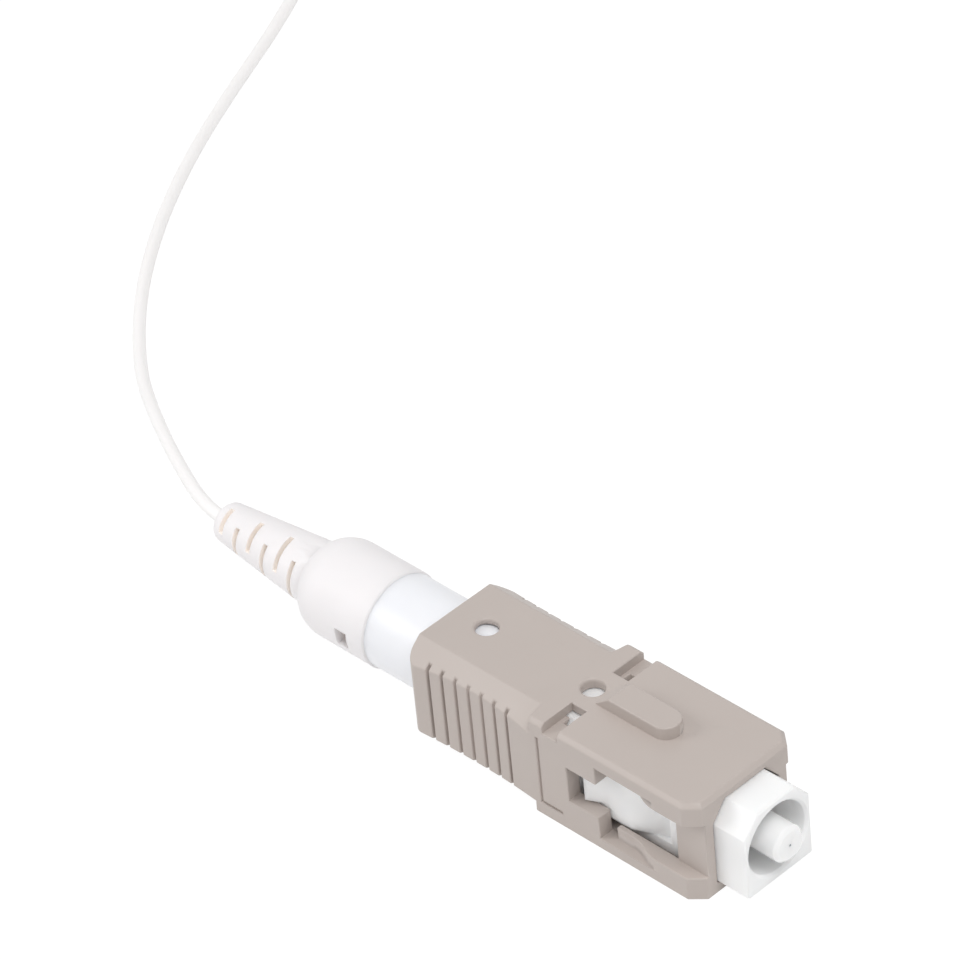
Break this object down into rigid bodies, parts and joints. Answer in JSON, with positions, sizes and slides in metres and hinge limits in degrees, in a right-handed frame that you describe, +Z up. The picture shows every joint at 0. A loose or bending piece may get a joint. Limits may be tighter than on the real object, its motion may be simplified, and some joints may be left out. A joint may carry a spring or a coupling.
{
  "type": "sc fibre connector",
  "caption": "Push-pull fibre optic connector: beige sliding grip over a white plug frame, ceramic ferrule, slotted bend boot, on a thin buffered fibre pigtail.",
  "frame": {"origin": "on the surface under the connector, midway between the boot's end and the ferrule's tip, below the optical axis", "axes": "+X along the optical axis, out of the ferrule; +Z up, through the polarity key; +Y to the connector's left"},
  "size_m": [0.099, 0.0778, 0.0083],
  "materials": {
    "housing_beige": "satin moulded beige",
    "frame_white": "satin moulded off-white",
    "zirconia": "polished white ceramic",
    "flange_metal": "nickel plated",
    "glass_fibre": "clear glass",
    "spring_steel": "drawn wire",
    "collar_white": "smooth bluish white",
    "sleeve_brass": "turned brass",
    "tube_ptfe": "translucent white",
    "buffer_white": "smooth tight buffer",
    "boot_white": "soft creamy white elastomer",
    "tie_white": "thin soft strap"
  },
  "bodies": {
    "plug": {"plug_frame": "frame_white", "rear_body": "collar_white", "spring": "spring_steel", "crimp_sleeve": "sleeve_brass", "guide_tube": "tube_ptfe", "buffered_fibre": "buffer_white", "boot": "boot_white", "fibre_cord": "buffer_white", "fibre_coil": "buffer_white", "coil_tie": "tie_white"},
    "housing": {"outer_housing": "housing_beige"},
    "ferrule": {"ferrule": "zirconia", "ferrule_flange": "flange_metal", "bare_fibre": "glass_fibre"}
  },
  "joints": [
    {"name": "housing_slide", "type": "slide", "parent": "plug", "child": "housing", "axis": [1, 0, 0], "range_m": [-0.0018, 0.0008]},
    {"name": "ferrule_float", "type": "slide", "parent": "plug", "child": "ferrule", "axis": [1, 0, 0], "range_m": [-0.0015, 0], "stiffness_N_per_m": 1500, "deforming": ["spring"]}
  ]
}
